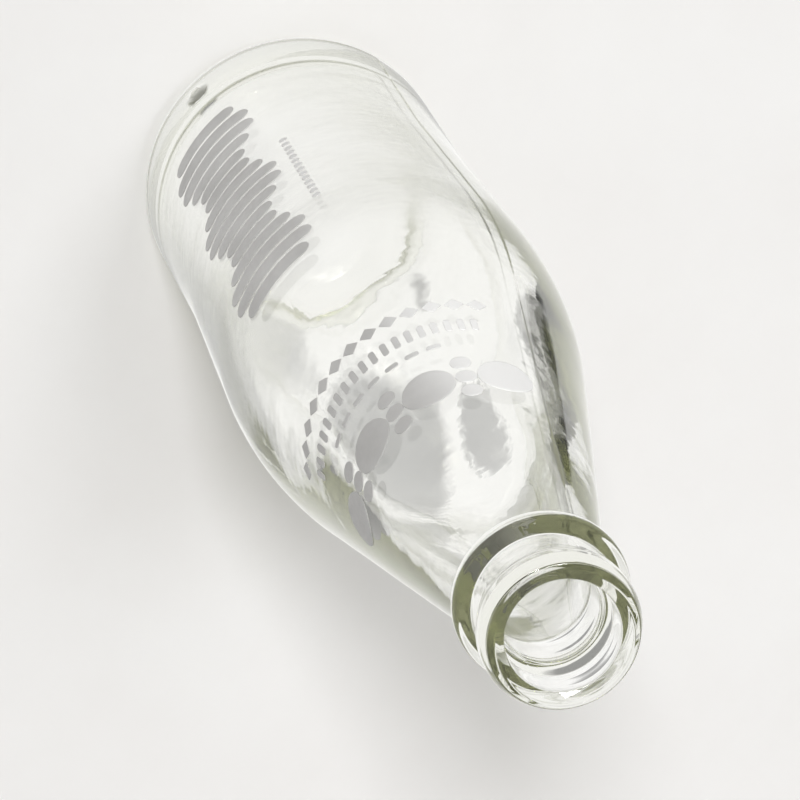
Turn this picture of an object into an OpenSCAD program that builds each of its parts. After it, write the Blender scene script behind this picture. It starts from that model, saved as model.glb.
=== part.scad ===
// Returnable glass soda bottle with a crown finish and fired enamel prints.
// The bottle stands on its bearing ring at z = 0, its axis is Z and its
// printed front faces -Y. Sizes are in millimetres.

/* [Body] */
// Height from the bearing ring to the crest of the lip, before the crest is rounded
bottle_h = 238; // [228:1:260]
// Diameter of the foot, above the heel
foot_d = 57; // [55:0.5:60]
// Radius of the heel, between foot and bearing ring
heel_r = 8; // [5:0.5:10]
// Diameter at the waist
waist_d = 56.8; // [55:0.2:60]
// Height of the waist
waist_z = 48; // [40:1:60]
// Radius that blends the waist
waist_blend_r = 290; // [150:10:400]
// Diameter at which the lines of the body and the cone would meet
shoulder_d = 61.8; // [58:0.2:66]
// Height at which the lines of the body and the cone would meet
shoulder_z = 114; // [105:1:122]
// Radius that blends the shoulder
shoulder_blend_r = 180; // [100:5:220]

/* [Finish] */
// Diameter of the crown lip
lip_d = 26.6; // [24:0.1:30]
// Width of the lip, from its side to the bore
lip_w = 3.8; // [3.8:0.1:4.4]
// Height of the crown lip, above its sloped underside
lip_h = 5.2; // [4.6:0.1:6]
// Height of the lip's sloped underside
lip_slope = 1.8; // [1.2:0.1:2.4]
// Width of the lip's steep outer bevel
lip_bevel = 0.8; // [0.6:0.1:1]
// Depth of the bevel's foot below the crest of the lip
lip_bevel_drop = 2.6; // [2.2:0.1:2.8]
// Rounding between the lip's side and its bevel
lip_round = 2.5; // [1:0.1:3]
// Rounding between the bevel and the lip's top
lip_top_round = 0.6; // [0.4:0.1:0.8]
// Drop of the lip's top from its crest to the bevel
lip_top_drop = 0.25; // [0.15:0.05:0.35]
// Distance from the bore to the crest, on which a cap seals
crest_in = 1.9; // [1.7:0.1:2.1]
// Rounding of the crest
crest_round = 1.2; // [0.8:0.1:1.4]
// Drop from the crest to the edge of the bore
mouth_drop = 0.6; // [0.5:0.05:0.8]
// Rounding of the edge of the bore
mouth_round = 0.25; // [0.1:0.05:0.4]
// Rounding under the lip
lip_under = 1.6; // [0.8:0.1:2]
// Depth of the groove under the lip, measured from the lip's side
groove_deep = 1.1; // [0.8:0.1:1.4]
// Rounding at both ends of the groove
groove_round = 1; // [0.4:0.1:2]
// Distance by which the transfer bead stands out past the lip's side
bead_out = 1.4; // [0.8:0.1:3]
// Height of the bead's side, between its sloped flanks
bead_h = 2.6; // [2.3:0.1:4]
// Angle of the bead's flanks from the level, in degrees
flank_angle = 36; // [31:1:45]
// Depth of the bead's middle below the crest of the lip
bead_drop = 16.9; // [16:0.1:18]
// Rounding of the bead's edges
bead_round = 2.2; // [1:0.1:2.2]
// Distance by which the neck stands back under the bead, from the lip's side
neck_in = 1.7; // [1:0.1:2]
// Rounding where the neck meets the bead
neck_round = 1.6; // [0.8:0.1:2]

/* [Mould seam] */
// Height of the body's seams, where the halves of the mould met
seam_t = 0.15; // [0.1:0.05:0.3]
// Height of the seams on bead and lip
finish_seam_t = 0.05; // [0.05:0.05:0.2]
// Width of a seam
seam_w = 0.5; // [0.3:0.1:1]
// Angle of the body's first seam from the front, in degrees
body_seam_angle = -76; // [-90:1:-75]
// Angle of the first seam of bead and lip from the front, in degrees
finish_seam_angle = -64; // [-90:1:90]

/* [Inside] */
// Length of the straight bore
bore_len = 6.7; // [5:0.1:8]
// Distance by which the throat stands in from the bore
throat_in = 1.1; // [0.6:0.1:1.6]
// Length of the taper from the bore to the throat
taper_len = 2.7; // [2:0.1:4]
// Rounding at both ends of the taper
taper_round = 2; // [0.5:0.1:4]
// Length of the throat, from the taper to the line of the cone
throat_len = 8; // [7:0.1:12]
// Rounding between throat and cone
throat_round = 40; // [20:1:50]
// Wall thickness of the body
body_wall = 4.3; // [3:0.1:5]
// Thickness of the floor, above the push-up
floor_t = 4.3; // [3:0.1:6]
// Radius between floor and wall
floor_round = 13; // [8:0.5:15]

/* [Base] */
// Width of the flat bearing ring
bearing_w = 2.4; // [1.5:0.1:4]
// Height of the push-up at the middle of the base
push_up = 3.2; // [2:0.1:4]
// Radius at which the push-up's slope would meet its level middle
push_up_r = 4.5; // [4:0.5:8]
// Rounding between that slope and the middle
push_up_round = 24; // [10:1:28]
// Rounding at the inner edge of the bearing ring
bearing_round = 1; // [0.5:0.1:1.5]
// Height of the round registration notch above the heel
notch_z = 13; // [11:0.5:16]
// Radius of the ball that sinks the notch
notch_r = 4; // [3:0.5:6]
// Depth of the notch
notch_deep = 0.9; // [0.5:0.1:1.2]

/* [Enamel] */
// Thickness of the fired enamel
enamel_t = 0.15; // [0.1:0.05:0.3]
// Height of the lowest bar on the body
bars_z = 31; // [26:0.5:34]
// Number of bars on the body
bar_count = 16; // [8:1:16]
// Spacing of the bars
bar_pitch = 5.4; // [5:0.1:5.4]
// Height of one bar
bar_h = 4.4; // [3:0.1:4.6]
// Mean length of a bar
bar_len = 16.5; // [12:0.5:18]
// Swing of the bars' length about the mean
bar_swing = 4.5; // [0:0.5:5]
// Number of bars in one swing
bars_per_swing = 6; // [4:0.5:10]
// Angle of the bars from the front, in degrees
bars_angle = 7.5; // [5:0.5:12]
// Angle of the row of small dots from the front, in degrees
dots_angle = -19; // [-26:0.5:-18]
// Height of the lowest small dot
dots_z = 60; // [40:1:70]
// Number of small dots
dot_count = 14; // [6:1:16]
// Spacing of the small dots
dot_pitch = 2.7; // [2.4:0.1:3]
// Diameter of a small dot
dot_d = 1.6; // [1:0.1:2]
// Height of the row of diamonds on the shoulder
diamonds_z = 148.3; // [144:0.1:150]
// Number of diamonds
diamond_count = 13; // [5:1:15]
// Spacing of the diamonds around the shoulder
diamond_pitch = 3.9; // [3.7:0.1:4.2]
// Side of a diamond
diamond_side = 2.4; // [1.5:0.1:2.5]
// Rise from the diamonds to the row of upright ticks
ticks_rise = 6.7; // [5.6:0.1:8]
// Number of ticks
tick_count = 19; // [5:2:21]
// Spacing of the ticks around the shoulder
tick_pitch = 2.3; // [2.1:0.1:2.5]
// Length of a tick
tick_len = 3.6; // [2.4:0.1:4]
// Width of a tick
tick_w = 1.2; // [0.8:0.1:1.4]
// Rise from the ticks to the row of dashes
dashes_rise = 5.6; // [4.6:0.1:6.4]
// Number of dashes
dash_count = 7; // [3:1:9]
// Spacing of the dashes around the shoulder
dash_pitch = 3.9; // [3.6:0.1:4.4]
// Length of a dash
dash_len = 2.6; // [1.5:0.1:3]
// Height of a dash
dash_h = 1.1; // [0.8:0.1:1.6]
// Rise from the dashes to the band of bubbles
bubbles_rise = 10.9; // [9:0.1:12]
// Number of large bubbles
bubble_count = 4; // [2:1:4]
// Spacing of the large bubbles around the cone
bubble_pitch = 13.5; // [13.3:0.1:13.8]
// Diameter of a large bubble
bubble_d = 9.6; // [6:0.1:10]
// Diameter of a small bubble
small_bubble_d = 3.6; // [2:0.1:4]
// Spread of the small bubbles above and below the band's middle
small_bubble_spread = 4.4; // [3:0.1:5]

/* [Hidden] */
$fn = 96;
// Largest gap between a curve of the outline and its chords
chord_gap = 0.03;
// Distance from the axis at which a stencil starts
near = 15;
// Distance from the axis at which a stencil ends
reach = 40;
neck_d = lip_d - 2 * neck_in;
bead_d = lip_d + 2 * bead_out;
groove_d = lip_d - 2 * groove_deep;
bore_d = lip_d - 2 * lip_w;
throat_d = bore_d - 2 * throat_in;
bead_low = bottle_h - bead_drop - bead_h / 2;
bead_high = bottle_h - bead_drop + bead_h / 2;
neck_z = bead_low - (bead_out + neck_in) * tan(flank_angle);
groove_z = bead_high + (bead_out + groove_deep) * tan(flank_angle);
lip_low = bottle_h - lip_h;
crest_r = bore_d / 2 + crest_in;
bore_bottom = bottle_h - mouth_drop - bore_len;
taper_z = bore_bottom - taper_len;
throat_z = taper_z - throat_len;
bearing_r = foot_d / 2 - heel_r - bearing_w;
floor_z = push_up + floor_t;
ticks_z = diamonds_z + ticks_rise;
dashes_z = ticks_z + dashes_rise;
bubbles_z = dashes_z + bubbles_rise;
glass_colour = [0.86, 0.90, 0.87, 0.35];
enamel_colour = [0.90, 0.90, 0.89];

// Corners of the outside up to the crest, each as [radius, height, rounding]
outside = [
    [0, push_up, 0],
    [push_up_r, push_up, push_up_round],
    [bearing_r, 0, bearing_round],
    [foot_d / 2, 0, heel_r],
    [waist_d / 2, waist_z, waist_blend_r],
    [shoulder_d / 2, shoulder_z, shoulder_blend_r],
    [neck_d / 2, neck_z, neck_round],
    [bead_d / 2, bead_low, bead_round],
    [bead_d / 2, bead_high, bead_round],
    [groove_d / 2, groove_z, groove_round],
    [groove_d / 2, lip_low - lip_slope, groove_round],
    [lip_d / 2, lip_low, lip_under],
    [lip_d / 2, bottle_h - lip_bevel_drop, lip_round],
    [lip_d / 2 - lip_bevel, bottle_h - lip_top_drop, lip_top_round],
    [crest_r, bottle_h, crest_round]
];

// Corners of the inside, on the way down from the crest
inside = [
    [bore_d / 2, bottle_h - mouth_drop, mouth_round],
    [bore_d / 2, bore_bottom, taper_round],
    [throat_d / 2, taper_z, taper_round],
    [throat_d / 2, throat_z, throat_round],
    [shoulder_d / 2 - body_wall, shoulder_z, shoulder_blend_r],
    [waist_d / 2 - body_wall, waist_z, waist_blend_r],
    [foot_d / 2 - body_wall, floor_z, floor_round],
    [0, floor_z, 0]
];

// Radius of the foot at a height
function foot_r(z) = (foot_d + (waist_d - foot_d) * z / waist_z) / 2;

// Radius of the cone at a height
function cone_r(z) =
    (shoulder_d + (neck_d - shoulder_d) * (z - shoulder_z) / (neck_z - shoulder_z)) / 2;

function unit(v) = v / norm(v);
function flat(p) = [p[0], p[1]];

// Points of the arc that rounds corner b on the way from a to c
function arc(a, b, c, r) =
    let (
        u = unit(a - b),
        v = unit(c - b),
        half = acos(u * v) / 2,
        middle = b + unit(u + v) * r / sin(half),
        first = b + u * r / tan(half) - middle,
        turn = 180 - 2 * half,
        way = u[0] * v[1] - u[1] * v[0] < 0 ? 1 : -1,
        steps = ceil(turn / (2 * acos(1 - chord_gap / r)))
    )
    [
        for (i = [0 : steps])
            let (t = way * turn * i / steps)
            middle + [
                first[0] * cos(t) - first[1] * sin(t),
                first[0] * sin(t) + first[1] * cos(t)
            ]
    ];

// Path through the corners, with every corner rounded
function path(corners) = [
    for (i = [0 : len(corners) - 1])
        let (b = corners[i])
        each b[2] == 0
            ? [flat(b)]
            : arc(flat(corners[i - 1]), flat(b), flat(corners[i + 1]), b[2])
];

// Section of the glass, on one side of the axis
module glass_section() {
    polygon(path(concat(outside, inside)));
}

// The same section with the inside filled
module outside_section() {
    polygon(path(concat(outside, [[0, bottle_h - mouth_drop, 0]])));
}

// Section of a layer on the outside, between two heights
module layer_section(thick, sunk, low, high) {
    intersection() {
        difference() {
            translate([thick, 0])
                outside_section();
            translate([-sunk, 0])
                outside_section();
        }
        translate([0, low])
            square([reach, high - low]);
    }
}

// Skin of enamel thickness on the outside, between two heights
module skin(low, high) {
    rotate_extrude()
        layer_section(enamel_t, 0, low, high);
}

// Ridges of two opposite mould seams between two heights, where the glass is this wide
module seams(turn, tall, across, low, high) {
    wide = seam_w / across * 360 / PI;
    for (side = [90, 270])
        rotate([0, 0, turn + side - wide / 2])
            rotate_extrude(angle = wide)
                layer_section(tall, seam_w, low, high);
}

// Cuts the flat stencil, drawn about its own middle, out of the front
module stencil(turn, z) {
    rotate([0, 0, turn])
        translate([0, 0, z])
            rotate([90, 0, 0])
                translate([0, 0, near])
                    linear_extrude(reach - near)
                        children();
}

// Print of a row of stencils on the cone, spaced evenly about the front
module row(count, pitch, z, tall) {
    step = pitch / cone_r(z) * 180 / PI;
    intersection() {
        skin(z - tall, z + tall);
        for (i = [0 : count - 1])
            stencil((i - (count - 1) / 2) * step, z)
                children();
    }
}

// Bar with round ends
module bar(long, tall) {
    square([long - tall, tall], center = true);
    for (side = [-1, 1])
        translate([side * (long - tall) / 2, 0])
            circle(tall / 2);
}

module bottle_glass() {
    color(glass_colour)
        difference() {
            union() {
                rotate_extrude()
                    glass_section();
                seams(body_seam_angle, seam_t, foot_d, heel_r, neck_z);
                seams(finish_seam_angle, finish_seam_t, lip_d, bead_low, bottle_h - lip_bevel_drop);
            }
            translate([0, notch_deep - foot_r(notch_z) - notch_r, notch_z])
                sphere(notch_r);
        }
}

module body_print_bars() {
    color(enamel_colour)
        intersection() {
            skin(bars_z - bar_h, bars_z + (bar_count - 1) * bar_pitch + bar_h);
            for (i = [0 : bar_count - 1])
                stencil(bars_angle, bars_z + i * bar_pitch)
                    bar(bar_len + bar_swing * sin(360 * i / bars_per_swing), bar_h);
        }
}

module body_print_dots() {
    color(enamel_colour)
        intersection() {
            skin(dots_z - dot_d, dots_z + (dot_count - 1) * dot_pitch + dot_d);
            for (i = [0 : dot_count - 1])
                stencil(dots_angle, dots_z + i * dot_pitch)
                    circle(dot_d / 2);
        }
}

module shoulder_print_diamonds() {
    color(enamel_colour)
        row(diamond_count, diamond_pitch, diamonds_z, diamond_side)
            rotate([0, 0, 45])
                square(diamond_side, center = true);
}

module shoulder_print_ticks() {
    color(enamel_colour)
        row(tick_count, tick_pitch, ticks_z, tick_len)
            rotate([0, 0, 90])
                bar(tick_len, tick_w);
}

module shoulder_print_dashes() {
    color(enamel_colour)
        row(dash_count, dash_pitch, dashes_z, dash_h)
            bar(dash_len, dash_h);
}

module cone_print_large_bubbles() {
    color(enamel_colour)
        row(bubble_count, bubble_pitch, bubbles_z, bubble_d)
            circle(bubble_d / 2);
}

module cone_print_small_bubbles() {
    color(enamel_colour)
        row(bubble_count - 1, bubble_pitch, bubbles_z, small_bubble_spread + small_bubble_d)
            for (level = [-1 : 1])
                translate([0, level * small_bubble_spread])
                    circle(small_bubble_d / 2);
}

bottle_glass();
body_print_bars();
body_print_dots();
shoulder_print_diamonds();
shoulder_print_ticks();
shoulder_print_dashes();
cone_print_large_bubbles();
cone_print_small_bubbles();
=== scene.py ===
"""Clear glass soda bottle with fired enamel prints, on a pale studio floor.

Lengths are in millimetres unless a comment says metres, and the meshes are in metres.
The bottle stands on z = 0, its axis is Z and its printed front faces -Y. Angles in the
tables are in degrees, and those of seams and prints are measured from the front.
"""

import math

import bpy
import numpy as np
from mathutils import Matrix, Vector


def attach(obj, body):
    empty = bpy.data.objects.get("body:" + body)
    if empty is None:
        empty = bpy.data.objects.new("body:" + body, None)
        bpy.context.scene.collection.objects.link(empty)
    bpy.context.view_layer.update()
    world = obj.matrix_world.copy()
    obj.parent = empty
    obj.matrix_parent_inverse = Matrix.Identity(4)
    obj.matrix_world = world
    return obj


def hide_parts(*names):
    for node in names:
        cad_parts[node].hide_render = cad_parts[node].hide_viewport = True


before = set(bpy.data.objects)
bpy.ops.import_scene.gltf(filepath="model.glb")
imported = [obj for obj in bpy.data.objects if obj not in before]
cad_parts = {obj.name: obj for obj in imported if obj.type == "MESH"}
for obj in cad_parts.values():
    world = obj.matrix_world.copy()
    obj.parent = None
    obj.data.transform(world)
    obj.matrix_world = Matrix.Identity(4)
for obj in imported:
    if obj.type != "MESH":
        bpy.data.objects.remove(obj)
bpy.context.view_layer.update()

MM = 0.001

# Outline of the glass: foot, waist and shoulder
BOTTLE_H = 238.0
FOOT_D, HEEL_R = 57.0, 8.0
WAIST_D, WAIST_Z, WAIST_R = 56.8, 48.0, 290.0
SHOULDER_D, SHOULDER_Z, SHOULDER_R = 61.8, 114.0, 180.0
# Crown lip, with its bevel, its crest and the edge of the mouth
LIP_D, LIP_W, LIP_H, LIP_SLOPE, LIP_UNDER = 26.6, 3.8, 5.2, 1.8, 1.6
LIP_BEVEL, LIP_BEVEL_DROP, LIP_ROUND = 0.8, 2.6, 2.5
LIP_TOP_DROP, LIP_TOP_ROUND = 0.25, 0.6
CREST_IN, CREST_ROUND = 1.9, 1.2
MOUTH_DROP, MOUTH_ROUND = 0.6, 0.25
# Groove, transfer bead with its sloping flanks, and neck below the lip
GROOVE_DEEP, GROOVE_ROUND = 1.1, 1.0
BEAD_OUT, BEAD_H, BEAD_DROP, BEAD_ROUND = 1.4, 2.6, 16.9, 2.2
FLANK_ANGLE = 36.0
NECK_IN, NECK_ROUND = 1.7, 1.6
# Inside: bore, taper, throat, wall and floor
BORE_LEN, TAPER_LEN, TAPER_ROUND = 6.7, 2.7, 2.0
THROAT_IN, THROAT_LEN, THROAT_ROUND = 1.1, 8.0, 40.0
BODY_WALL, FLOOR_T, FLOOR_ROUND = 4.3, 4.3, 13.0
# Underside: bearing ring and push-up
BEARING_W, BEARING_ROUND = 2.4, 1.0
PUSH_UP, PUSH_UP_R, PUSH_UP_ROUND = 3.2, 4.5, 24.0

# Radii and heights that follow
FLANK_SLOPE = math.tan(math.radians(FLANK_ANGLE))
LIP_R = LIP_D / 2
NECK_R, BEAD_R, GROOVE_R = LIP_R - NECK_IN, LIP_R + BEAD_OUT, LIP_R - GROOVE_DEEP
BORE_R = LIP_R - LIP_W
THROAT_R = BORE_R - THROAT_IN
CREST_R = BORE_R + CREST_IN
BORE_BOTTOM = BOTTLE_H - MOUTH_DROP - BORE_LEN
TAPER_Z = BORE_BOTTOM - TAPER_LEN
BEAD_LOW = BOTTLE_H - BEAD_DROP - BEAD_H / 2
BEAD_HIGH = BEAD_LOW + BEAD_H
NECK_Z = BEAD_LOW - (BEAD_OUT + NECK_IN) * FLANK_SLOPE
GROOVE_Z = BEAD_HIGH + (BEAD_OUT + GROOVE_DEEP) * FLANK_SLOPE
LIP_LOW = BOTTLE_H - LIP_H
BEARING_R = FOOT_D / 2 - HEEL_R - BEARING_W
FLOOR_Z = PUSH_UP + FLOOR_T

# Corners of the outside, each as (radius, height, rounding)
OUTSIDE = [
    (0, PUSH_UP, 0),
    (PUSH_UP_R, PUSH_UP, PUSH_UP_ROUND),
    (BEARING_R, 0, BEARING_ROUND),
    (FOOT_D / 2, 0, HEEL_R),
    (WAIST_D / 2, WAIST_Z, WAIST_R),
    (SHOULDER_D / 2, SHOULDER_Z, SHOULDER_R),
    (NECK_R, NECK_Z, NECK_ROUND),
    (BEAD_R, BEAD_LOW, BEAD_ROUND),
    (BEAD_R, BEAD_HIGH, BEAD_ROUND),
    (GROOVE_R, GROOVE_Z, GROOVE_ROUND),
    (GROOVE_R, LIP_LOW - LIP_SLOPE, GROOVE_ROUND),
    (LIP_R, LIP_LOW, LIP_UNDER),
    (LIP_R, BOTTLE_H - LIP_BEVEL_DROP, LIP_ROUND),
    (LIP_R - LIP_BEVEL, BOTTLE_H - LIP_TOP_DROP, LIP_TOP_ROUND),
    (CREST_R, BOTTLE_H, CREST_ROUND),
]

# Corners of the inside, on the way down from the lip's crest
INSIDE = [
    (BORE_R, BOTTLE_H - MOUTH_DROP, MOUTH_ROUND),
    (BORE_R, BORE_BOTTOM, TAPER_ROUND),
    (THROAT_R, TAPER_Z, TAPER_ROUND),
    (THROAT_R, TAPER_Z - THROAT_LEN, THROAT_ROUND),
    (SHOULDER_D / 2 - BODY_WALL, SHOULDER_Z, SHOULDER_R),
    (WAIST_D / 2 - BODY_WALL, WAIST_Z, WAIST_R),
    (FOOT_D / 2 - BODY_WALL, FLOOR_Z, FLOOR_ROUND),
    (0, FLOOR_Z, 0),
]

# Mould seams: how far they stand out, the width of their step, and their angles
SEAM_T, FINISH_SEAM_T, SEAM_W = 0.15, 0.05, 0.5
BODY_SEAMS = (-76.0, 104.0)
FINISH_SEAMS = (-64.0, 116.0)
# Side to which a seam steps up, where 1 is anticlockwise seen from above, the run over
# which the step dies away on that side, and the length over which its ends fade
SEAM_WAY, SEAM_RUN, SEAM_END = -1, 6.0, 2.0
# Heights between which the body's seams fade on the shoulder, and what is left
SEAM_FADE, SEAM_LEFT = (100.0, 140.0), 0.2

# Registration notch in the heel, at the front, and the rounding of its rim
NOTCH_Z, NOTCH_R, NOTCH_DEEP, NOTCH_EDGE = 13.0, 4.0, 0.9, 0.2

# Waves that blowing leaves in the inner wall, each as
# (height, turns round the bottle, turns per metre of height, phase in radians)
INNER_WAVES = [
    (0.16, 1, 2.0, 0.4),
    (0.12, 2, -5.0, 1.9),
    (0.10, 3, 7.0, 4.4),
    (0.035, 5, -16.0, 2.7),
    (0.02, 4, 24.0, 0.9),
    (0.006, 9, 38.0, 5.2),
    (0.004, 7, -55.0, 3.6),
]
# The mould leaves the outside far smoother
OUTER_WAVES = [
    (0.02, 2, 9.0, 1.1),
    (0.012, 5, -21.0, 3.9),
    (0.008, 8, 46.0, 0.2),
]
# Lengths over which the waves calm down towards the axis, the heel and the neck
AXIS_CALM, HEEL_CALM, NECK_CALM = 12.0, 8.0, 20.0

# Mesh of the glass: even columns, closer ones at each seam and across the notch, and
# the least turn between two columns
COLUMNS = 216
SEAM_COLUMNS = (-1.6, -1.0, -0.7, -0.4, -0.15, 0.15, 0.4, 0.7, 1.0, 1.6)
NOTCH_SPAN, NOTCH_COLUMNS = 8.0, 41
LEAST_TURN = 0.1
# Largest gap between an arc and its chords, and longest steps along a section
ARC_GAP, SKIN_STEP, OUTLINE_STEP = 0.004, 1.1, 0.5
# The heel ends where the outside comes this near to the radius of the foot
HEEL_NEAR = 0.1

# Enamel films: how far they stand on the glass, sink into it and stand at their edge,
# and the least half height of a column
FILM_LIFT, FILM_SINK, FILM_EDGE, FILM_TIP = 0.12, 0.04, 0.03, 0.02
# Points up a film, and columns across a narrow motif and a wide one
FILM_ROWS, NARROW_COLUMNS, WIDE_COLUMNS = 13, 13, 33
# Bars and dots on the body
BARS_Z, BAR_COUNT, BAR_PITCH, BAR_H = 31.0, 16, 5.4, 4.4
BAR_LEN, BAR_SWING, BARS_PER_SWING, BARS_ANGLE = 16.5, 4.5, 6, 7.5
DOTS_ANGLE, DOTS_Z, DOT_COUNT, DOT_PITCH, DOT_D = -19.0, 60.0, 14, 2.7, 1.6
# Arcs on the shoulder
DIAMONDS_Z, DIAMOND_COUNT, DIAMOND_PITCH, DIAMOND_SIDE = 148.3, 13, 3.9, 2.4
TICKS_Z, TICK_COUNT, TICK_PITCH, TICK_LEN, TICK_W = 155.0, 19, 2.3, 3.6, 1.2
DASHES_Z, DASH_COUNT, DASH_PITCH, DASH_LEN, DASH_H = 160.6, 7, 3.9, 2.6, 1.1
# Bubbles on the cone
BUBBLES_Z, BUBBLE_COUNT, BUBBLE_PITCH, BUBBLE_D = 171.5, 4, 13.5, 9.6
SMALL_BUBBLE_D, SMALL_BUBBLE_SPREAD = 3.6, 4.4

# Glass: refraction, roughness where clean and where rubbed, tint and density of its
# depth, and what its shadow lets through
GLASS_IOR, GLASS_ROUGH = 1.52, (0.0, 0.05)
GLASS_TINT, GLASS_DENSITY = (0.36, 0.38, 0.10, 1), 10.0
GLASS_SHADOW = (0.62, 0.62, 0.60, 1)
# Roughness of the inside where use has hazed it, the heights that the haze reaches at
# the back and front, and the length over which it fades
HAZE, HAZE_TOP, HAZE_FADE = 0.17, (45.0, 130.0), 30.0
# Dark diffuse patch in the notch, and its cover by distance from the notch's middle in metres
NOTCH_DARK_COLOUR = (0.10, 0.10, 0.065, 1)
NOTCH_DARK = {"From Min": 0.0012, "From Max": 0.0032, "To Min": 0.75, "To Max": 0.0}

# Enamel: clouded greys of painted shade on one side, its lit white elsewhere, and its roughness
ENAMEL_SHADED = ((0.41, 0.405, 0.395), (0.50, 0.495, 0.485))
ENAMEL_LIT = (0.86, 0.86, 0.85, 1)
ENAMEL_ROUGH = (0.32, 0.52)
# Places on X, in metres, between which the enamel goes from its painted shade to its lit white
ENAMEL_SHADE_TURN = {"From Min": -0.003, "From Max": -0.016}

# Floor, in metres: half its size, its drop below the bottle, and its mottled tones
FLOOR_HALF, FLOOR_DROP = 4.0, 0.00005
FLOOR_TONES = ((0.83, 0.815, 0.80), (0.87, 0.865, 0.855))
# Painted light: the floor grows slightly paler towards the back, along Y in metres, as if more
# light fell there
FLOOR_PAINTED_LIGHT = {"From Min": -0.15, "From Max": 0.20, "To Min": 0.95, "To Max": 1.10}

# Light: two soft lamps, each as (direction from the bottle, size in metres, power)
LAMPS = {
    "key": ((-0.19, -0.43, 0.88), 0.28, 25.5),
    "fill": ((-0.29, -0.12, 0.95), 0.40, 10.5),
}
# Point that the lamps face, and their distance from it, in metres
LAMP_AIM, LAMP_DISTANCE = (0, 0, 0.1), 2.2
# Light from all round, and the backdrop and floor that are seen in the glass
STUDIO_WHITE = (1, 0.995, 0.985, 1)
SKY_LIGHT, BACKDROP, FLOOR_IN_GLASS = 0.38, 0.86, 1.0
# Most surfaces that turn a ray of light, and most that let it straight through
BOUNCES, CLEAR_BOUNCES = 64, 16

# Cards on the floor, unseen by the camera, whose even glowing tones paint dark reflections and
# refractions into the glass: place, half length and half width in metres, turn, tone, share of the
# size where the edge starts to fade, raggedness, and the most glass surfaces that it is seen
# through
CARDS = {
    # The heel card paints a contact shade round the foot, the groove card a dark glint, and the
    # rest painted dark reflections and refractions
    "card_heel": ((0, 0), (0.0345, 0.0345), 0, 0.55, 0.90, 0.0, BOUNCES),
    "card_left": ((0.037, 0.054), (0.030, 0.022), 10, 0.38, 0.65, 0.5, BOUNCES),
    "card_near": ((0.039, 0.014), (0.014, 0.020), 0, 0.45, 0.50, 0.4, BOUNCES),
    "card_side": ((0.070, -0.002), (0.055, 0.030), 25, 0.60, 0.50, 0.3, BOUNCES),
    "card_dark": ((-0.0645, 0.070), (0.037, 0.016), 0, 0.06, 0.88, 0.2, BOUNCES),
    "card_far": ((-0.124, 0.063), (0.032, 0.024), 0, 0.06, 0.75, 0.3, BOUNCES),
    "card_ragged": ((0.001, 0.071), (0.018, 0.009), 20, 0.42, 0.70, 1.1, BOUNCES),
    "card_small": ((-0.006, 0.038), (0.0060, 0.0024), 31, 0.30, 0.30, 0.5, BOUNCES),
    "card_bore": ((0.035, 0.250), (0.090, 0.055), 0, 0.30, 0.60, 0.1, 2),
    "card_groove": ((0.056, 0.079), (0.009, 0.005), 0, 0.02, 0.50, 0.3, BOUNCES),
}
# Cards that the glass also mirrors. It refracts all of them
CARDS_REFLECTED = ("card_heel", "card_side", "card_far")
# Lift of each card above the one before it in metres, and corners of its rim
CARD_LIFT, CARD_CORNERS = 0.0002, 48
# Distance from the axis in metres within which cards are clear, so none lies in the glass
CARD_CLEAR = 0.029

# Camera in metres, found by fitting the outline to the photograph
CAMERA_PLACE = (-0.121417, -0.453134, 1.226549)
CAMERA_RIGHT = (-0.709441, 0.676706, 0.196882)
CAMERA_FORWARD = (0.104067, 0.376884, -0.920396)
CAMERA_CLIP = (0.05, 50.0)
# Focal length and width of the film, in millimetres
CAMERA_LENS, CAMERA_FILM = 312.48, 36.0


def arc(a, b, c, radius, gap):
    """Points of the arc that rounds corner b on the way from a to c."""
    u = (a - b) / np.linalg.norm(a - b)
    v = (c - b) / np.linalg.norm(c - b)
    half = math.acos(float(np.clip(u @ v, -1, 1))) / 2
    middle = b + (u + v) / np.linalg.norm(u + v) * radius / math.sin(half)
    first = b + u * radius / math.tan(half) - middle
    turn = math.pi - 2 * half
    way = 1 if u[0] * v[1] - u[1] * v[0] < 0 else -1
    steps = max(2, math.ceil(turn / (2 * math.acos(1 - gap / radius))))
    t = way * turn * np.linspace(0, 1, steps + 1)
    x = first[0] * np.cos(t) - first[1] * np.sin(t)
    y = first[0] * np.sin(t) + first[1] * np.cos(t)
    return middle + np.stack([x, y], 1)


def path(corners, gap, step):
    """Points along the corners, rounded, with none further apart than step."""
    flat = [np.array(c[:2], float) for c in corners]
    rough = [flat[0][None]]
    for i in range(1, len(corners) - 1):
        radius = corners[i][2]
        rough.append(arc(flat[i - 1], flat[i], flat[i + 1], radius, gap))
    rough.append(flat[-1][None])
    rough = np.concatenate(rough)
    points = [rough[0]]
    for start, end in zip(rough[:-1], rough[1:]):
        count = max(1, math.ceil(np.linalg.norm(end - start) / step))
        points += [start + (end - start) * k / count for k in range(1, count + 1)]
    return np.array(points)


def ease(x):
    """Smooth step from 0 to 1 as x goes from 0 to 1."""
    x = np.clip(x, 0, 1)
    return x * x * (3 - 2 * x)


def waves(table, angle, z):
    """Sum of the waves in a table at an angle and a height."""
    total = np.zeros(np.broadcast(angle, z).shape)
    for height, around, along, phase in table:
        total += height * np.cos(around * angle + 2 * math.pi * along * z * MM + phase)
    return total


def from_front(degrees):
    """Angle about +Z in radians of an angle measured from the front."""
    return math.radians(degrees - 90)


def turned(angle, centre):
    """Signed angle from a centre in radians, within half a turn either way."""
    return (angle - centre + math.pi) % (2 * math.pi) - math.pi


def new_piece(name, verts, faces, material, node):
    """Mesh piece that stands for a CAD node, from vertices in millimetres."""
    mesh = bpy.data.meshes.new(name)
    mesh.from_pydata((np.asarray(verts) * MM).tolist(), [], faces)
    mesh.validate()
    mesh.shade_smooth()
    mesh.materials.append(material)
    piece = bpy.data.objects.new(name, mesh)
    bpy.context.scene.collection.objects.link(piece)
    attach(piece, "root")
    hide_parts(node)
    return piece


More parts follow.
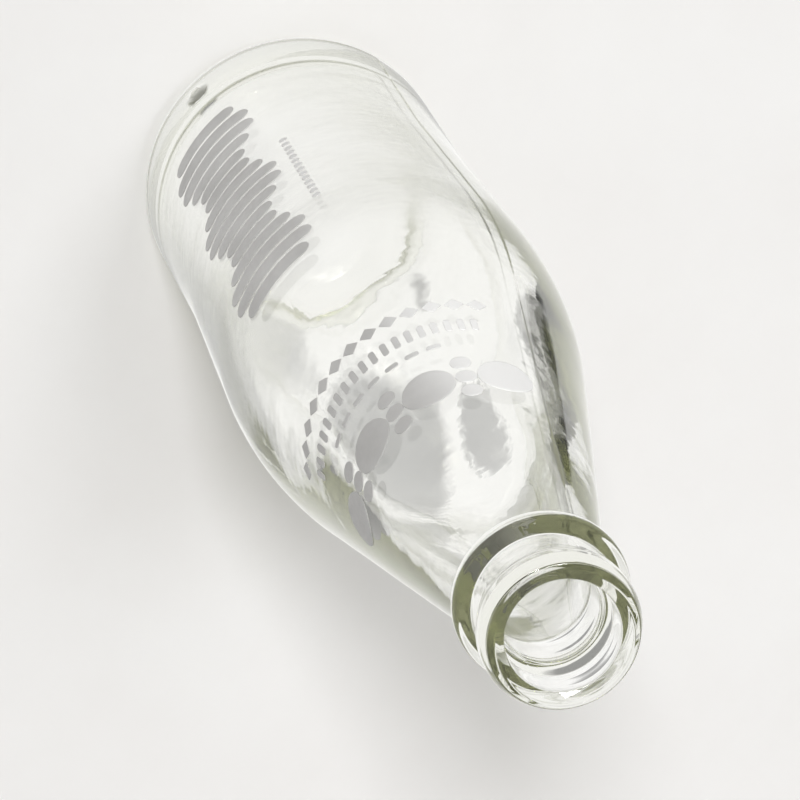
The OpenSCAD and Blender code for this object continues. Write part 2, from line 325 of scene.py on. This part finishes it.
def columns():
    """Angles of the mesh's columns, closer together at seams and notch."""
    angles = [np.linspace(0, 2 * math.pi, COLUMNS, endpoint=False)]
    for degrees in BODY_SEAMS + FINISH_SEAMS:
        angles.append(from_front(degrees) + np.radians(SEAM_COLUMNS))
    notch = np.linspace(-NOTCH_SPAN, NOTCH_SPAN, NOTCH_COLUMNS)
    angles.append(from_front(0) + np.radians(notch))
    angles = np.sort(np.concatenate(angles) % (2 * math.pi))
    gaps = np.diff(angles, append=angles[0] + 2 * math.pi)
    return angles[gaps > math.radians(LEAST_TURN)]


def outward(section):
    """Unit normals of the section, pointing out of the glass."""
    along = np.gradient(section, axis=0)
    along /= np.linalg.norm(along, axis=1, keepdims=True)
    return np.stack([along[:, 1], -along[:, 0]], 1)


def seam_lift(angle, r, z):
    """How far the mould seams lift the outside."""
    fade_low, fade_high = SEAM_FADE
    faded = 1 - (1 - SEAM_LEFT) * ease((z - fade_low) / (fade_high - fade_low))
    ridges = [
        (BODY_SEAMS, SEAM_T * faded, HEEL_R, NECK_Z),
        (FINISH_SEAMS, FINISH_SEAM_T, BEAD_LOW, BOTTLE_H),
    ]
    lift = np.zeros(np.broadcast(angle, z).shape)
    for seams, tall, low, high in ridges:
        tall = tall * ease((z - low) / SEAM_END) * ease((high - z) / SEAM_END)
        for degrees in seams:
            across = turned(angle, from_front(degrees)) * np.maximum(r, 1) * SEAM_WAY
            run = np.maximum(across, 0) / SEAM_RUN
            step = ease(across / SEAM_W + 0.5) * np.exp(-(run**2))
            lift += tall * step
    return lift


def skin_shift(angle, r, z, inner):
    """How far seams and waves move the skin out of the glass."""
    calm = ease((NECK_Z - z) / NECK_CALM)
    outside = waves(OUTER_WAVES, angle, z) * ease((z - HEEL_R) / HEEL_CALM) * calm
    inside = waves(INNER_WAVES, angle, z) * ease(r / AXIS_CALM) * calm
    return np.where(inner, -inside, seam_lift(angle, r, z) + outside)


def cut_notch(angle, radius, z):
    """Radius of the outside with the notch sunk into it by a ball."""
    middle = FOOT_D / 2 + NOTCH_R - NOTCH_DEEP
    turn = turned(angle, from_front(0))
    rest = NOTCH_R**2 - (z - NOTCH_Z) ** 2 - (middle * np.sin(turn)) ** 2
    ball = middle * np.cos(turn) - np.sqrt(np.maximum(rest, 0))
    share = np.clip(0.5 + (ball - radius) / NOTCH_EDGE / 2, 0, 1)
    sunk = ball + (radius - ball) * share - NOTCH_EDGE * share * (1 - share)
    return np.where((rest > 0) & (np.cos(turn) > 0), sunk, radius)


def haze_cover(angle, z):
    """Share of the inside's haze, which reaches higher at the front."""
    back, front = HAZE_TOP
    top = back + (front - back) * ease(0.5 - np.sin(angle))
    return ease((top - z) / HAZE_FADE)


def skin_faces(count, wide):
    """Faces of a skin of count rings of wide points each, with a pole at either end."""
    first_pole, last_pole = count * wide, count * wide + 1
    last = (count - 1) * wide
    faces = []
    for j in range(wide):
        k = (j + 1) % wide
        faces.append((first_pole, k, j))
        faces.append((last_pole, last + j, last + k))
        for i in range(count - 1):
            a, b = i * wide, (i + 1) * wide
            faces.append((a + j, a + k, b + k, b + j))
    return faces


def glass_mesh():
    """Vertices and faces of the glass, as one closed turned skin, and its haze."""
    section = path(OUTSIDE + INSIDE, ARC_GAP, SKIN_STEP)
    crest = int(np.argmin(np.abs(section - [CREST_R, BOTTLE_H]).sum(1)))
    inner = (np.arange(len(section)) > crest)[:, None]
    angle = columns()[None, :]
    r, z = section[:, :1], section[:, 1:]
    normal = outward(section)
    shift = skin_shift(angle, r, z, inner)
    radius = r + normal[:, :1] * shift
    height = z + normal[:, 1:] * shift
    radius = np.where(inner, radius, cut_notch(angle, radius, z))

    rings = np.stack([radius * np.cos(angle), radius * np.sin(angle), height], 2)[1:-1]
    poles = [[0, 0, section[0, 1]], [0, 0, section[-1, 1]]]
    verts = np.concatenate([rings.reshape(-1, 3), poles])
    haze = inner * haze_cover(angle, z)
    haze = np.append(haze[1:-1].ravel(), [0, 1])
    return verts, skin_faces(*rings.shape[:2]), haze


def heel_to_lip():
    """Points of the outside from the top of the heel to the lip's crest."""
    points = path(OUTSIDE, ARC_GAP, OUTLINE_STEP)
    return points[np.argmax(points[:, 0] > FOOT_D / 2 - HEEL_NEAR):]


OUTLINE = heel_to_lip()


def outside_r(z):
    """Radius of the glass at a height of body, shoulder or cone."""
    return np.interp(z, OUTLINE[:, 1], OUTLINE[:, 0])


def cone_r(z):
    """Radius of the cone's straight line at a height."""
    share = (z - SHOULDER_Z) / (NECK_Z - SHOULDER_Z)
    return SHOULDER_D / 2 + (NECK_R - SHOULDER_D / 2) * share


def spread(count):
    """Places from -1 to 1, closer together towards both ends."""
    return -np.cos(np.linspace(0, math.pi, count))


def bar_outline(long, tall):
    """Columns of a level bar with round ends: offsets and half heights."""
    u = spread(WIDE_COLUMNS) * long / 2
    over = np.maximum(np.abs(u) - (long - tall) / 2, 0)
    return u, np.sqrt(np.maximum((tall / 2) ** 2 - over**2, 0))


def tick_outline(tall, wide):
    """Columns of an upright bar with round ends."""
    u = spread(NARROW_COLUMNS) * wide / 2
    return u, (tall - wide) / 2 + np.sqrt(np.maximum((wide / 2) ** 2 - u**2, 0))


def disc_outline(across):
    """Columns of a disc."""
    return bar_outline(across, across)


def diamond_outline(side):
    """Columns of a square that stands on its corner."""
    reach = side / math.sqrt(2)
    u = np.linspace(-reach, reach, NARROW_COLUMNS)
    return u, reach - np.abs(u)


def row(count, pitch, z, outline, rise=0.0):
    """Motifs spaced evenly about the front, each as (turn, height, outline)."""
    step = math.degrees(pitch / cone_r(z))
    return [((i - (count - 1) / 2) * step, z + rise, outline) for i in range(count)]


def pad_faces(front, m, n):
    """Faces of a closed pad, whose front and back are each m columns of n points."""
    back = front + m * n
    faces = []
    for i in range(m - 1):
        for j in range(n - 1):
            a, b = i * n + j, (i + 1) * n + j
            faces.append((front + a, front + b, front + b + 1, front + a + 1))
            faces.append((back + a, back + a + 1, back + b + 1, back + b))
    rim = [i * n for i in range(m)]
    rim += [(m - 1) * n + j for j in range(1, n)]
    rim += [i * n + n - 1 for i in range(m - 2, -1, -1)]
    rim += list(range(n - 2, 0, -1))
    for a, b in zip(rim, rim[1:] + rim[:1]):
        faces.append((front + b, front + a, back + a, back + b))
    return faces


def film_mesh(motifs):
    """Vertices and faces of enamel films, each a thin closed pad on the glass."""
    verts, faces = [], []
    for turn, z, (u, half) in motifs:
        height = z + np.maximum(half, FILM_TIP)[:, None] * spread(FILM_ROWS)
        lift = np.full(height.shape, FILM_LIFT)
        lift[[0, -1], :] = FILM_EDGE
        lift[:, [0, -1]] = FILM_EDGE
        faces += pad_faces(sum(len(v) for v in verts), *height.shape)
        for level in (lift, -FILM_SINK):
            r = outside_r(height) + level
            angle = from_front(turn) + np.arcsin(u[:, None] / r)
            sheet = np.stack([r * np.cos(angle), r * np.sin(angle), height], 2)
            verts.append(sheet.reshape(-1, 3))
    return np.concatenate(verts), faces


class Graph:
    """Node tree of a material or the world, with short ways to add nodes to it."""

    def __init__(self, owner, output):
        owner.use_nodes = True
        self.nodes = owner.node_tree.nodes
        self.links = owner.node_tree.links
        self.nodes.clear()
        self.output = self.nodes.new(output)

    def add(self, kind, inputs=None, **settings):
        """New node with its settings, and with inputs that are values or outputs to link."""
        node = self.nodes.new("ShaderNode" + kind)
        for name, value in settings.items():
            setattr(node, name, value)
        for name, value in (inputs or {}).items():
            if isinstance(value, bpy.types.NodeSocket):
                self.links.new(value, node.inputs[name])
            else:
                node.inputs[name].default_value = value
        return node

    def maths(self, operation, *values):
        """Result of an operation on numbers."""
        node = self.add("Math", dict(enumerate(values)), operation=operation)
        return node.outputs["Value"]

    def vector(self, operation, *values):
        """Node of an operation on vectors."""
        return self.add("VectorMath", dict(enumerate(values)), operation=operation)

    def mix(self, share, first, second):
        """Mix of two shaders, with a share of the second."""
        node = self.add("MixShader", dict(enumerate((share, first, second))))
        return node.outputs["Shader"]

    def place(self):
        """Place on the object, in its own coordinates."""
        return self.add("TexCoord").outputs["Object"]

    def noise(self, place, scale, detail, rough=0.55):
        """Noise texture by place."""
        inputs = {"Vector": place, "Scale": scale, "Detail": detail, "Roughness": rough}
        return self.add("TexNoise", inputs)

    def ramp(self, share, between, colours, interpolation="LINEAR"):
        """Colour that goes from one to another as a share goes between two values."""
        node = self.add("ValToRGB", {"Fac": share})
        node.color_ramp.interpolation = interpolation
        for end, value, colour in zip(node.color_ramp.elements, between, colours):
            end.position = value
            end.color = (*colour, 1)
        return node.outputs["Color"]

    def bump(self, height, strength, distance):
        """Normal of a surface with fine relief, its distance in metres."""
        inputs = {"Height": height, "Strength": strength, "Distance": distance}
        return self.add("Bump", inputs).outputs["Normal"]

    def any_ray(self, *rays):
        """Value that is 1 for rays of any of these kinds, and 0 otherwise."""
        light_path = self.add("LightPath")
        seen = light_path.outputs[rays[0]]
        for ray in rays[1:]:
            seen = self.maths("MAXIMUM", seen, light_path.outputs[ray])
        return seen

    def surface(self, shader):
        """Make a shader the surface."""
        self.links.new(shader, self.output.inputs["Surface"])


def new_material(name):
    """Material and its empty graph."""
    made = bpy.data.materials.new(name)
    return made, Graph(made, "ShaderNodeOutputMaterial")


def greys(*tones):
    """Colours of even greys."""
    return [(tone, tone, tone) for tone in tones]


def notch_dark_cover(graph, place):
    """Cover of the notch's dark patch, densest at its middle."""
    notch = (0, -FOOT_D / 2 * MM, NOTCH_Z * MM)
    reach = graph.vector("DISTANCE", place, notch).outputs["Value"]
    near = graph.add("MapRange", {"Value": reach, **NOTCH_DARK}, interpolation_type="SMOOTHSTEP")
    return near.outputs["Result"]


def glass_material():
    """Clear glass, green in its depth, rubbed, hazed inside and darkened in the notch."""
    made, graph = new_material("clear_glass")
    place = graph.place()
    rub = graph.noise(place, scale=260.0, detail=6.0, rough=0.7).outputs["Fac"]
    rubbed = graph.ramp(rub, between=(0.62, 0.85), colours=greys(*GLASS_ROUGH))
    haze = graph.add("Attribute", attribute_name="haze").outputs["Fac"]
    skin = graph.noise(place, scale=120.0, detail=2.0).outputs["Fac"]
    clear = graph.add("BsdfPrincipled", {
        "Base Color": (1, 1, 1, 1),
        "Transmission Weight": 1.0,
        "IOR": GLASS_IOR,
        "Roughness": graph.maths("MULTIPLY_ADD", haze, HAZE, rubbed),
        "Normal": graph.bump(skin, strength=0.08, distance=0.0004),
    })
    # A dark olive diffuse patch darkens the notch
    notch_dark = graph.add("BsdfDiffuse", {"Color": NOTCH_DARK_COLOUR})
    cover = notch_dark_cover(graph, place)
    used = graph.mix(cover, clear.outputs["BSDF"], notch_dark.outputs["BSDF"])
    passing = graph.add("BsdfTransparent", {"Color": GLASS_SHADOW})
    in_shadow = graph.any_ray("Is Shadow Ray")
    graph.surface(graph.mix(in_shadow, used, passing.outputs["BSDF"]))
    depth = graph.add("VolumeAbsorption", {"Color": GLASS_TINT, "Density": GLASS_DENSITY})
    graph.links.new(depth.outputs["Volume"], graph.output.inputs["Volume"])
    return made


def enamel_material():
    """White fired enamel, satin with a fine grain, with painted shade on one side."""
    made, graph = new_material("white_enamel")
    place = graph.place()
    cloud = graph.noise(place, scale=90.0, detail=5.0).outputs["Fac"]
    # Painted shade: clouded greys stand in for the white enamel lying in shade, and give way to
    # its lit white along X
    shaded = graph.ramp(cloud, between=(0.35, 0.7), colours=ENAMEL_SHADED)
    x = graph.add("SeparateXYZ", {"Vector": place}).outputs["X"]
    side = graph.add("MapRange", {"Value": x, **ENAMEL_SHADE_TURN}, interpolation_type="SMOOTHSTEP")
    colours = {"Factor": side.outputs["Result"], "A": shaded, "B": ENAMEL_LIT}
    colour = graph.add("Mix", colours, data_type="RGBA").outputs["Result"]
    grain = graph.noise(place, scale=1400.0, detail=3.0).outputs["Fac"]
    shader = graph.add("BsdfPrincipled", {
        "Base Color": colour,
        "Roughness": graph.ramp(grain, between=(0.3, 0.7), colours=greys(*ENAMEL_ROUGH)),
        "Normal": graph.bump(grain, strength=0.25, distance=0.0001),
    })
    graph.surface(shader.outputs["BSDF"])
    return made


def floor_material():
    """Pale matt board with a faint mottle and painted light that grows towards the back, which the
    glass sees evenly lit.
    """
    made, graph = new_material("pale_floor")
    place = graph.place()
    cloud = graph.noise(place, scale=14.0, detail=6.0, rough=0.6).outputs["Fac"]
    tone = graph.ramp(cloud, between=(0.3, 0.75), colours=FLOOR_TONES)
    # Painted light: the board's tone is scaled up towards the back
    y = graph.add("SeparateXYZ", {"Vector": place}).outputs["Y"]
    painted_light = graph.add("MapRange", {"Value": y, **FLOOR_PAINTED_LIGHT}).outputs["Result"]
    shade = graph.add("VectorMath", {0: tone, "Scale": painted_light}, operation="SCALE")
    board = graph.add("BsdfPrincipled", {
        "Base Color": shade.outputs["Vector"],
        "Roughness": 0.9,
        "Specular IOR Level": 0.0,
    })
    glow = graph.add("Emission", {"Color": STUDIO_WHITE, "Strength": FLOOR_IN_GLASS})
    in_glass = graph.any_ray("Is Glossy Ray", "Is Transmission Ray")
    graph.surface(graph.mix(in_glass, board.outputs["BSDF"], glow.outputs["Emission"]))
    return made


def card_material(name, tone, fade, ragged, walls):
    """Even glowing tone, a painted dark reflection in the glass, that fades out towards the edge
    of a disc of unit radius.
    """
    made, graph = new_material(name)
    place = graph.place()
    wobble = graph.noise(place, scale=2.2, detail=6.0, rough=0.65).outputs["Color"]
    wobble = graph.vector("SUBTRACT", wobble, (0.5, 0.5, 0.5)).outputs["Vector"]
    moved = graph.vector("MULTIPLY_ADD", wobble, (ragged, ragged, 0), place).outputs["Vector"]
    reach = graph.vector("LENGTH", moved).outputs["Value"]
    cover = graph.ramp(reach, between=(fade, 1.0), colours=greys(1, 0), interpolation="EASE")

    spot = graph.add("NewGeometry").outputs["Position"]
    from_axis = graph.vector("LENGTH", spot).outputs["Value"]
    cover = graph.maths("MULTIPLY", cover, graph.maths("GREATER_THAN", from_axis, CARD_CLEAR))
    crossed = graph.add("LightPath").outputs["Transmission Depth"]
    cover = graph.maths("MULTIPLY", cover, graph.maths("LESS_THAN", crossed, walls + 0.5))

    glow = graph.add("Emission", {"Color": (tone, tone, tone, 1)})
    clear = graph.add("BsdfTransparent")
    graph.surface(graph.mix(cover, clear.outputs["BSDF"], glow.outputs["Emission"]))
    return made


def make_glass():
    """The bottle itself, with its haze as an attribute of the mesh."""
    verts, faces, haze = glass_mesh()
    shell = new_piece("glass_shell", verts, faces, glass_material(), "bottle_glass")
    shell.data.attributes.new("haze", "FLOAT", "POINT").data.foreach_set("value", haze)


def make_prints():
    """The enamel prints, one piece for each CAD node."""
    enamel = enamel_material()
    bars = []
    for i in range(BAR_COUNT):
        long = BAR_LEN + BAR_SWING * math.sin(2 * math.pi * i / BARS_PER_SWING)
        bars.append((BARS_ANGLE, BARS_Z + i * BAR_PITCH, bar_outline(long, BAR_H)))
    dots = [(DOTS_ANGLE, DOTS_Z + i * DOT_PITCH, disc_outline(DOT_D)) for i in range(DOT_COUNT)]
    small = []
    for level in (-1, 0, 1):
        rise = level * SMALL_BUBBLE_SPREAD
        small += row(BUBBLE_COUNT - 1, BUBBLE_PITCH, BUBBLES_Z, disc_outline(SMALL_BUBBLE_D), rise)
    prints = {
        "body_print_bars": bars,
        "body_print_dots": dots,
        "shoulder_print_diamonds": row(
            DIAMOND_COUNT, DIAMOND_PITCH, DIAMONDS_Z, diamond_outline(DIAMOND_SIDE)),
        "shoulder_print_ticks": row(
            TICK_COUNT, TICK_PITCH, TICKS_Z, tick_outline(TICK_LEN, TICK_W)),
        "shoulder_print_dashes": row(
            DASH_COUNT, DASH_PITCH, DASHES_Z, bar_outline(DASH_LEN, DASH_H)),
        "cone_print_large_bubbles": row(
            BUBBLE_COUNT, BUBBLE_PITCH, BUBBLES_Z, disc_outline(BUBBLE_D)),
        "cone_print_small_bubbles": small,
    }
    for node, motifs in prints.items():
        verts, faces = film_mesh(motifs)
        new_piece("film_" + node, verts, faces, enamel, node)


def stage_sheet(name, corners, material):
    """Flat sheet of the stage, which is no part of the bottle."""
    mesh = bpy.data.meshes.new(name)
    mesh.from_pydata(corners, [], [tuple(range(len(corners)))])
    mesh.materials.append(material)
    sheet = bpy.data.objects.new(name, mesh)
    bpy.context.scene.collection.objects.link(sheet)
    return sheet


def make_floor():
    """Wide floor, just below the bottle."""
    sides = ((-1, -1), (1, -1), (1, 1), (-1, 1))
    corners = [(x * FLOOR_HALF, y * FLOOR_HALF, -FLOOR_DROP) for x, y in sides]
    stage_sheet("studio_floor", corners, floor_material())


def make_cards():
    """Cards that paint the clear glass's darker places as painted reflections and refractions,
    unseen by the camera.
    """
    turns = np.linspace(0, 2 * math.pi, CARD_CORNERS, endpoint=False)
    rim = [(math.cos(t), math.sin(t), 0) for t in turns]
    for level, (name, card) in enumerate(CARDS.items(), 1):
        (x, y), (long, wide), turn, tone, fade, ragged, walls = card
        sheet = stage_sheet(name, rim, card_material(name, tone, fade, ragged, walls))
        sheet.location = (x, y, level * CARD_LIFT)
        sheet.rotation_euler = (0, 0, math.radians(turn))
        sheet.scale = (long, wide, 1)
        sheet.visible_camera = False
        sheet.visible_diffuse = False
        sheet.visible_shadow = False
        sheet.visible_glossy = name in CARDS_REFLECTED


def make_lamp(name, place, target, size, power):
    """Square area lamp that faces a point."""
    data = bpy.data.lights.new(name, "AREA")
    data.shape = "SQUARE"
    data.size = size
    data.energy = power
    lamp = bpy.data.objects.new(name, data)
    lamp.location = place
    lamp.rotation_euler = (Vector(target) - Vector(place)).to_track_quat("-Z", "Y").to_euler()
    lamp.visible_transmission = False
    bpy.context.scene.collection.objects.link(lamp)


def make_world():
    """Even light from all round, which camera and glass see as a pale backdrop."""
    world = bpy.data.worlds.new("studio")
    graph = Graph(world, "ShaderNodeOutputWorld")
    sky = graph.add("Background", {"Color": STUDIO_WHITE, "Strength": SKY_LIGHT})
    backdrop = graph.add("Background", {"Color": STUDIO_WHITE, "Strength": BACKDROP})
    seen = graph.any_ray("Is Camera Ray", "Is Glossy Ray", "Is Transmission Ray")
    graph.surface(graph.mix(seen, sky.outputs["Background"], backdrop.outputs["Background"]))
    bpy.context.scene.world = world


def make_light():
    """World and lamps."""
    make_world()
    for name, (toward, size, power) in LAMPS.items():
        place = Vector(LAMP_AIM) + Vector(toward).normalized() * LAMP_DISTANCE
        make_lamp(name, place, LAMP_AIM, size, power)


def make_camera():
    """Camera at the photograph's viewing angle."""
    right = Vector(CAMERA_RIGHT).normalized()
    forward = Vector(CAMERA_FORWARD)
    forward = (forward - right * forward.dot(right)).normalized()
    up = right.cross(forward)
    turn = Matrix((right, up, -forward)).transposed().to_4x4()
    data = bpy.data.cameras.new("camera")
    data.lens = CAMERA_LENS
    data.sensor_width = CAMERA_FILM
    data.clip_start, data.clip_end = CAMERA_CLIP
    camera = bpy.data.objects.new("camera", data)
    camera.matrix_world = Matrix.Translation(CAMERA_PLACE) @ turn
    bpy.context.scene.collection.objects.link(camera)
    bpy.context.scene.camera = camera


make_glass()
make_prints()
make_floor()
make_cards()
make_light()
make_camera()
scene = bpy.context.scene
scene.view_settings.view_transform = "Standard"
scene.cycles.max_bounces = BOUNCES
scene.cycles.transmission_bounces = BOUNCES
scene.cycles.glossy_bounces = BOUNCES
scene.cycles.transparent_max_bounces = CLEAR_BOUNCES

bpy.context.view_layer.update()
